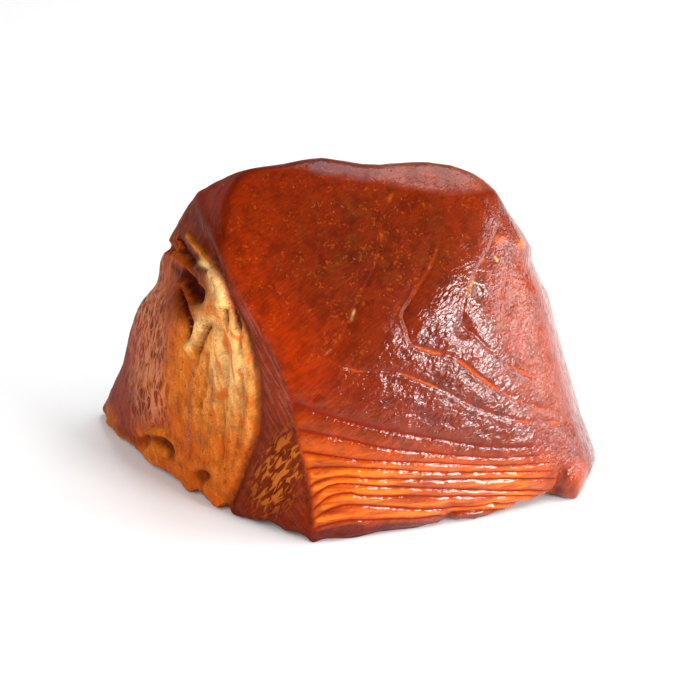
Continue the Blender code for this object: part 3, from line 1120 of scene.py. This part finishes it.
class NodeSheet:
    """A material's nodes, added one after the other."""

    def __init__(self, name: str) -> None:
        """Starts a material with an empty Principled shader.

        Args:
            name: the material's name.
        """
        self.material = bpy.data.materials.new(name)
        self.material.use_nodes = True
        self.tree = self.material.node_tree
        self.shader = self.tree.nodes["Principled BSDF"]

    def plug(self, value: object, socket: Socket) -> None:
        """Links an output to a socket, or sets the socket to a plain value.

        Args:
            value: a node's output, or a number, colour or vector.
            socket: the input that gets it.
        """
        if isinstance(value, Socket):
            self.tree.links.new(value, socket)
        else:
            socket.default_value = value

    def add(self, kind: str, inputs: dict | None = None, **settings: object) -> bpy.types.Node:
        """Adds a node.

        Args:
            kind: the node's type name.
            inputs: socket names or numbers with the value or output that each gets.
            settings: properties of the node.

        Returns:
            The node.
        """
        node = self.tree.nodes.new(kind)
        for name, value in settings.items():
            setattr(node, name, value)
        for socket, value in (inputs or {}).items():
            self.plug(value, node.inputs[socket])
        return node

    def value(self, name: str) -> Socket:
        """A number painted on the points."""
        return self.add("ShaderNodeAttribute", attribute_name=name).outputs["Fac"]

    def math(self, how: str, first: Socket | float, second: Socket | float = 0.0) -> Socket:
        """One arithmetic step."""
        return self.add("ShaderNodeMath", {0: first, 1: second}, operation=how).outputs[0]

    def times(self, first: Socket | float, *others: Socket | float) -> Socket | float:
        """Several numbers multiplied."""
        for other in others:
            first = self.math("MULTIPLY", first, other)
        return first

    def plus(self, first: Socket | float, *others: Socket | float) -> Socket | float:
        """Several numbers added."""
        for other in others:
            first = self.math("ADD", first, other)
        return first

    def step(self, value: Socket, low: float, high: float) -> Socket:
        """A smooth step from 0 at low to 1 at high."""
        inputs = {"Value": value, "From Min": low, "From Max": high}
        return self.add("ShaderNodeMapRange", inputs, interpolation_type="SMOOTHSTEP").outputs["Result"]

    def mix(self, share: Socket | float, under: object, over: object, how: str = "MIX") -> Socket:
        """Lays one colour over another.

        Args:
            share: how much of the second colour shows, from 0 to 1.
            under: the first colour.
            over: the second colour.
            how: the way they combine.

        Returns:
            The mixed colour.
        """
        node = self.add("ShaderNodeMix", data_type="RGBA", blend_type=how)
        self.plug(share, node.inputs[0])
        self.plug(under, node.inputs[6])
        self.plug(over, node.inputs[7])
        return node.outputs[2]

    def stretched(self, scale: tuple[float, float, float], turn_deg: tuple[float, float, float]) -> Socket:
        """Object coordinates, turned and then stretched.

        Args:
            scale: the stretch along each axis after the turn.
            turn_deg: the turn round each axis.

        Returns:
            The coordinates.
        """
        place = self.add("ShaderNodeTexCoord").outputs["Object"]
        turn = tuple(math.radians(angle) for angle in turn_deg)
        inputs = {"Vector": place, "Rotation": turn}
        turned = self.add("ShaderNodeVectorRotate", inputs, rotation_type="EULER_XYZ").outputs[0]
        return self.add("ShaderNodeVectorMath", {0: turned, 1: scale}, operation="MULTIPLY").outputs[0]

    def noise(self, where: Socket, grain_mm: float, detail: float, twist: float) -> Socket:
        """Noise with a grain of so many millimetres, mostly from 0.3 to 0.7."""
        inputs = {"Vector": where, "Scale": 1.0 / (grain_mm * MM), "Detail": detail, "Distortion": twist}
        return self.add("ShaderNodeTexNoise", inputs).outputs["Fac"]

    def cells(self, where: Socket, grain_mm: float, how: str = "F1") -> Socket:
        """The distance in cells of so many millimetres, from their middles or to their edges."""
        inputs = {"Vector": where, "Scale": 1.0 / (grain_mm * MM)}
        return self.add("ShaderNodeTexVoronoi", inputs, feature=how).outputs["Distance"]


@dataclass(frozen=True)
class Grain:
    """The way a texture runs: the turn that lays it along an axis, and the stretch."""

    turn_deg: tuple[float, float, float]
    scale: tuple[float, float, float]

    def where(self, sheet: NodeSheet) -> Socket:
        """The texture coordinates."""
        return sheet.stretched(self.scale, self.turn_deg)

    def noise(self, sheet: NodeSheet, size_mm: float, detail: float = 2.0, twist: float = 0.0) -> Socket:
        """A noise that runs this way."""
        return sheet.noise(self.where(sheet), size_mm, detail, twist)


@dataclass(frozen=True)
class Fleck:
    """A tone that shows from where a noise passes start, wholly past full, inside a painted number."""

    grain: Grain
    size_mm: float
    detail: float
    twist: float
    start: float
    full: float
    number: str
    strength: float
    tone: Tone

    def over(self, sheet: NodeSheet, tint: Socket) -> Socket:
        """The tint with the flecks laid over it.

        Args:
            sheet: where the nodes go.
            tint: the colour so far.

        Returns:
            The new colour.
        """
        noise = self.grain.noise(sheet, self.size_mm, self.detail, self.twist)
        shown = sheet.times(sheet.step(noise, self.start, self.full), sheet.value(self.number), self.strength)
        return sheet.mix(shown, tint, self.tone.opaque)


@dataclass(frozen=True)
class Bump:
    """A fine relief by a noise, inside a painted number."""

    grain: Grain
    size_mm: float
    detail: float
    number: str
    height: float

    def rise(self, sheet: NodeSheet) -> Socket:
        """Its height in mm."""
        noise = self.grain.noise(sheet, self.size_mm, self.detail)
        return sheet.times(noise, sheet.value(self.number), self.height)


@dataclass(frozen=True)
class SmokedFlesh:
    """The finish of the whole chunk: wet, fibrous flesh, flaky laminae and fat, under a smoked skin."""

    roughness_dry: float = 0.5
    roughness_wet: float = 0.34
    coat_roughness: float = 0.05
    coat_ior: float = 1.5
    ior: float = 1.45
    shine: float = 0.03
    glow_share: float = 0.08
    glow_depth_mm: float = 2.0
    glow_spread: tuple[float, float, float] = (1.0, 0.25, 0.1)
    wrinkle_height: float = 0.46
    fibre_height: float = 0.06
    worm_height: float = 0.35
    drop_height: float = 0.16
    plain: Grain = Grain((0.0, 0.0, 0.0), (1.0, 1.0, 1.0))
    fibre: Grain = Grain((0.0, 35.0, -16.0), (0.12, 1.0, 1.0))
    wrinkle: Grain = Grain((0.0, 32.0, -16.0), (0.6, 1.0, 1.0))
    level: Grain = Grain((0.0, 0.0, -16.0), (0.1, 1.0, 1.0))
    hanging: Grain = Grain((0.0, 6.0, 0.0), (1.0, 1.0, 0.26))
    netted: Grain = Grain((0.0, 10.0, 0.0), (1.0, 1.0, 0.4))
    along_ridge: Grain = Grain((20.4, 26.1, 0.0), (1.0, 1.0, 0.06))
    combed: Grain = Grain((-19.0, -27.0, 0.0), (1.0, 1.0, 0.24))
    # each row: grain, size in mm, detail, twist, where it starts and is full, painted number, strength, tone
    stain: Fleck = Fleck(level, 3.5, 2.0, 0.0, 0.5, 0.68, "band", 0.6, Tone.CREASE_SHADE_AND_STAIN)
    pits: tuple[Fleck, ...] = (
        Fleck(netted, 2.4, 2.0, 0.6, 0.5, 0.58, "net", 0.75, Tone.VEIN),
        Fleck(netted, 2.4, 2.0, 0.6, 0.48, 0.4, "net", 0.8, Tone.PIT),
    )
    flecks: tuple[Fleck, ...] = (
        Fleck(netted, 2.8, 2.0, 0.5, 0.52, 0.66, "fat", 0.7, Tone.BLOT),
        Fleck(plain, 1.5, 3.0, 0.8, 0.62, 0.7, "fat", 0.7, Tone.PORE),
        Fleck(along_ridge, 0.8, 3.0, 0.0, 0.47, 0.62, "strip", 0.4, Tone.STRIPE),
    )
    # each row: grain, size in mm, detail, painted number, height in mm
    bumps: tuple[Bump, ...] = (
        Bump(level, 1.4, 1.5, "band", 0.3),
        Bump(hanging, 2.0, 2.0, "fat", 0.25),
        Bump(netted, 1.8, 2.0, "net", 0.5),
        Bump(along_ridge, 0.9, 1.5, "strip", 0.2),
    )

    def colour(self, sheet: NodeSheet) -> Socket:
        """The base colour: the painted tint, then fibres, specks, laminae, membranes and the fat side.

        Args:
            sheet: where the nodes go.

        Returns:
            The colour.
        """
        tint = sheet.add("ShaderNodeAttribute", attribute_name="tint").outputs["Color"]
        fibre = self.fibre.noise(sheet, 0.55, 4.0)
        dark, pale = (0.84, 0.82, 0.8, 1.0), (1.12, 1.1, 1.08, 1.0)
        tint = sheet.mix(1.0, tint, sheet.mix(sheet.step(fibre, 0.34, 0.66), dark, pale), "MULTIPLY")
        cloudy = self.plain.noise(sheet, 4.5, 5.0, 0.3)
        tint = sheet.mix(sheet.step(cloudy, 0.6, 0.3), tint, (0.68, 0.64, 0.66, 1.0), "MULTIPLY")
        chosen = sheet.plus(self.plain.noise(sheet, 4.0), sheet.times(sheet.value("speck"), 0.1))
        dots = sheet.step(self.plain.noise(sheet, 0.9, 1.0, 0.4), 0.56, 0.68)
        shown = sheet.times(dots, sheet.step(chosen, 0.5, 0.64), sheet.value("smooth"), 0.16)
        tint = self._band(sheet, sheet.mix(shown, tint, Tone.SPECK.opaque))
        return self._fat(sheet, tint)

    def _band(self, sheet: NodeSheet, tint: Socket) -> Socket:
        """Bright strands in the flaky band with painted shade in the creases between them, and the membranes'
        lips.

        Args:
            sheet: where the nodes go.
            tint: the colour so far.

        Returns:
            The new colour.
        """
        wave = sheet.math("PINGPONG", sheet.value("lamina"), 0.5)
        uneven = self.level.noise(sheet, 1.6)
        wave = sheet.plus(wave, sheet.times(sheet.plus(uneven, -0.5), 0.12))
        band = sheet.value("band")
        strand = sheet.times(sheet.step(wave, 0.1, 0.36), sheet.step(uneven, 0.3, 0.6), band, band, 0.8)
        tint = sheet.mix(strand, tint, Tone.STRAND.opaque)
        tint = self.stain.over(sheet, tint)
        # painted shade in the creases between the laminae
        tint = sheet.mix(sheet.times(self._creases(sheet), 0.85), tint, Tone.CREASE_SHADE_AND_STAIN.opaque)
        shown = sheet.plus(sheet.times(sheet.value("smooth"), -0.6), 0.75)
        return sheet.mix(sheet.times(self._seam(sheet), shown), tint, Tone.MEMBRANE.opaque)

    def _creases(self, sheet: NodeSheet) -> Socket:
        """The thin dark lines between the laminae: painted shade in their grooves."""
        wave = sheet.math("PINGPONG", sheet.value("lamina"), 0.5)
        return sheet.times(sheet.step(wave, 0.12, 0.03), sheet.step(sheet.value("band"), 0.04, 0.18))

    def _seam(self, sheet: NodeSheet) -> Socket:
        """The thin, uneven line of each membrane."""
        edge = sheet.plus(sheet.value("seam"), sheet.times(self.level.noise(sheet, 1.6), 0.35))
        return sheet.step(edge, 0.6, 0.88)

    def _worms(self, sheet: NodeSheet) -> Socket:
        """Winding strands in the comb: places where a stretched noise is past its middle value."""
        noise = self.combed.noise(sheet, 1.3, 1.5, 1.0)
        return sheet.times(sheet.step(noise, 0.48, 0.6), sheet.value("comb"))

    def _fat(self, sheet: NodeSheet, tint: Socket) -> Socket:
        """Streaks, pits, veins, blots and pores of the fat side, and the strip and comb beside the ridge.

        Args:
            sheet: where the nodes go.
            tint: the colour so far.

        Returns:
            The new colour.
        """
        streak = self.hanging.noise(sheet, 2.6, 3.0, 1.2)
        deep, pale = (0.88, 0.72, 0.52, 1.0), (1.04, 1.05, 1.06, 1.0)
        streaks = sheet.mix(sheet.step(streak, 0.34, 0.64), deep, pale)
        tint = sheet.mix(sheet.value("fat"), tint, sheet.mix(1.0, tint, streaks, "MULTIPLY"))
        for fleck in self.pits:
            tint = fleck.over(sheet, tint)
        edges = sheet.cells(self.netted.where(sheet), 2.4, "DISTANCE_TO_EDGE")
        veins = sheet.times(sheet.step(edges, 0.11, 0.02), sheet.value("net"), 0.6)
        tint = sheet.mix(veins, tint, Tone.VEIN.opaque)
        for fleck in self.flecks:
            tint = fleck.over(sheet, tint)
        return sheet.mix(sheet.times(self._worms(sheet), 0.7), tint, Tone.COMB.opaque)

    def drops(self, sheet: NodeSheet) -> Socket:
        """Tiny drops of juice, scattered over the half-dry part.

        Args:
            sheet: where the nodes go.

        Returns:
            1 in the middle of a drop, 0 outside.
        """
        chosen = sheet.step(self.plain.noise(sheet, 6.0), 0.5, 0.56)
        near = sheet.step(sheet.cells(self.plain.where(sheet), 3.2), 0.13, 0.02)
        return sheet.times(near, chosen, sheet.value("smooth"))

    def relief(self, sheet: NodeSheet, drops: Socket) -> Socket:
        """The fine bump, as heights in mm: wrinkles where wet, fibres, streaks, veins, strands and drops.

        Args:
            sheet: where the nodes go.
            drops: 1 in the middle of a drop.

        Returns:
            The bumped normal.
        """
        band, smooth = sheet.value("band"), sheet.value("smooth")
        calm = sheet.plus(1.0, sheet.times(band, -0.6), sheet.times(smooth, -0.4))
        wrinkle = self.wrinkle.noise(sheet, 1.15, 2.5, 0.5)
        height = sheet.plus(
            sheet.times(wrinkle, sheet.value("wet"), calm, self.wrinkle_height),
            sheet.times(self.fibre.noise(sheet, 0.8, 1.5), self.fibre_height),
            *(bump.rise(sheet) for bump in self.bumps),
            sheet.times(self._worms(sheet), self.worm_height),
            sheet.times(drops, self.drop_height),
        )
        return sheet.add("ShaderNodeBump", {"Height": height, "Strength": 1.0, "Distance": MM}).outputs[0]

    def film(self, sheet: NodeSheet) -> Socket:
        """How much juice covers the flesh: patchy, and thin over membranes and creases.

        Args:
            sheet: where the nodes go.

        Returns:
            The cover, from 0 to 1.
        """
        patchy = sheet.step(self.wrinkle.noise(sheet, 2.6, 3.0), 0.28, 0.44)
        cover = sheet.times(sheet.value("wet"), sheet.plus(sheet.times(patchy, 0.5), 0.5))
        for line in (self._seam(sheet), self._creases(sheet)):
            cover = sheet.times(cover, sheet.plus(sheet.times(line, -0.8), 1.0))
        return cover

    def material(self) -> bpy.types.Material:
        """Plugs the colour, the bump, the film of juice and the plain values into the shader.

        Returns:
            The finished material.
        """
        sheet = NodeSheet("smoked_flesh")
        drops = self.drops(sheet)
        bump = self.relief(sheet, drops)
        spread = sheet.times(sheet.value("wet"), self.roughness_wet - self.roughness_dry)
        inputs = {
            "Base Color": self.colour(sheet),
            "Normal": bump,
            "Coat Normal": bump,
            "Roughness": sheet.plus(spread, self.roughness_dry),
            "Coat Weight": sheet.math("MAXIMUM", self.film(sheet), drops),
            "Coat Roughness": self.coat_roughness,
            "Coat IOR": self.coat_ior,
            "IOR": self.ior,
            "Specular IOR Level": self.shine,
            "Subsurface Weight": self.glow_share,
            "Subsurface Radius": self.glow_spread,
            "Subsurface Scale": self.glow_depth_mm * MM,
        }
        for name, value in inputs.items():
            sheet.plug(value, sheet.shader.inputs[name])
        return sheet.material


@dataclass(frozen=True)
class SoftLamp:
    """A rectangular studio light aimed at the chunk."""

    name: str
    compass_deg: float
    height_deg: float
    distance: float
    size: tuple[float, float]
    power: float

    def hang(self, target: Vector) -> None:
        """Adds the light to the scene, facing the target.

        Args:
            target: where it points, in metres.
        """
        compass, height = math.radians(self.compass_deg), math.radians(self.height_deg)
        level = math.cos(height)
        away = Vector((math.sin(compass) * level, -math.cos(compass) * level, math.sin(height)))
        lamp = bpy.data.lights.new(self.name, "AREA")
        lamp.shape = "RECTANGLE"
        lamp.size, lamp.size_y = self.size
        lamp.energy = self.power
        holder = bpy.data.objects.new(self.name, lamp)
        holder.location = target + away * self.distance
        holder.rotation_euler = (-away).to_track_quat("-Z", "Y").to_euler()
        bpy.context.scene.collection.objects.link(holder)


@dataclass
class Studio:
    """The pale floor, the lights and the camera."""

    floor_side: float = 12.0
    floor_tone: float = 0.93
    floor_roughness: float = 0.9
    floor_shine: float = 0.1
    world_tone: float = 0.2
    lens: float = 137.1
    lamps: tuple[SoftLamp, ...] = (
        SoftLamp("overhead_softbox", 103.0, 61.0, 1.3, (1.5, 1.2), 16.8),
        SoftLamp("right_softbox", 90.0, 7.0, 1.2, (0.8, 0.36), 7.4),
        SoftLamp("front_right_softbox", 50.0, 13.0, 1.0, (0.34, 0.34), 11.5),
        SoftLamp("left_key", -42.0, 38.0, 1.2, (0.9, 0.9), 7.6),
    )

    def set_floor(self) -> None:
        """A large plain floor, just under the resting face."""
        half = self.floor_side / 2
        corners = [(-half, -half, 0.0), (half, -half, 0.0), (half, half, 0.0), (-half, half, 0.0)]
        mesh = bpy.data.meshes.new("floor")
        mesh.from_pydata(corners, [], [(0, 1, 2, 3)])
        floor = bpy.data.objects.new("floor", mesh)
        bpy.context.scene.collection.objects.link(floor)
        sheet = NodeSheet("pale_floor")
        sheet.shader.inputs["Base Color"].default_value = (self.floor_tone,) * 3 + (1.0,)
        sheet.shader.inputs["Roughness"].default_value = self.floor_roughness
        sheet.shader.inputs["Specular IOR Level"].default_value = self.floor_shine
        mesh.materials.append(sheet.material)

    def set_world(self) -> None:
        """An even, dim surround."""
        world = bpy.data.worlds.new("studio")
        world.use_nodes = True
        world.node_tree.nodes["Background"].inputs["Color"].default_value = (self.world_tone,) * 3 + (1.0,)
        bpy.context.scene.world = world

    def set_camera(self, plane: PatternPlane) -> None:
        """A long lens, a little above the chunk.

        Args:
            plane: the pattern plane, whose eye is where the camera stands.
        """
        camera = bpy.data.cameras.new("camera")
        camera.lens = self.lens
        camera.clip_start, camera.clip_end = 0.01, 50.0
        holder = bpy.data.objects.new("camera", camera)
        holder.location = Vector(plane.eye() * MM)
        holder.rotation_euler = (math.radians(90.0 - plane.lean_deg), 0.0, 0.0)
        bpy.context.scene.collection.objects.link(holder)
        bpy.context.scene.camera = holder

    def build(self, plane: PatternPlane) -> None:
        """Sets up everything round the chunk.

        Args:
            plane: the pattern plane, which the lights and camera face.
        """
        self.set_floor()
        self.set_world()
        for lamp in self.lamps:
            lamp.hang(Vector(plane.middle) * MM)
        self.set_camera(plane)
        bpy.context.scene.view_settings.view_transform = "Standard"


def main() -> None:
    """Loads the frame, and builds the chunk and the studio."""
    logging.basicConfig(level=logging.INFO, format="%(message)s")
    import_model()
    design = TunaChunk()
    chunk = design.build()
    chunk.data.materials.append(SmokedFlesh().material())
    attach(chunk, "root")
    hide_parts(NODE)
    LOG.info("%s: %d points, %d faces", chunk.name, len(chunk.data.vertices), len(chunk.data.polygons))
    studio = Studio()
    studio.build(design.plane)
    LOG.info("studio: floor, %d lights and camera", len(studio.lamps))


if __name__ == "__main__":
    main()
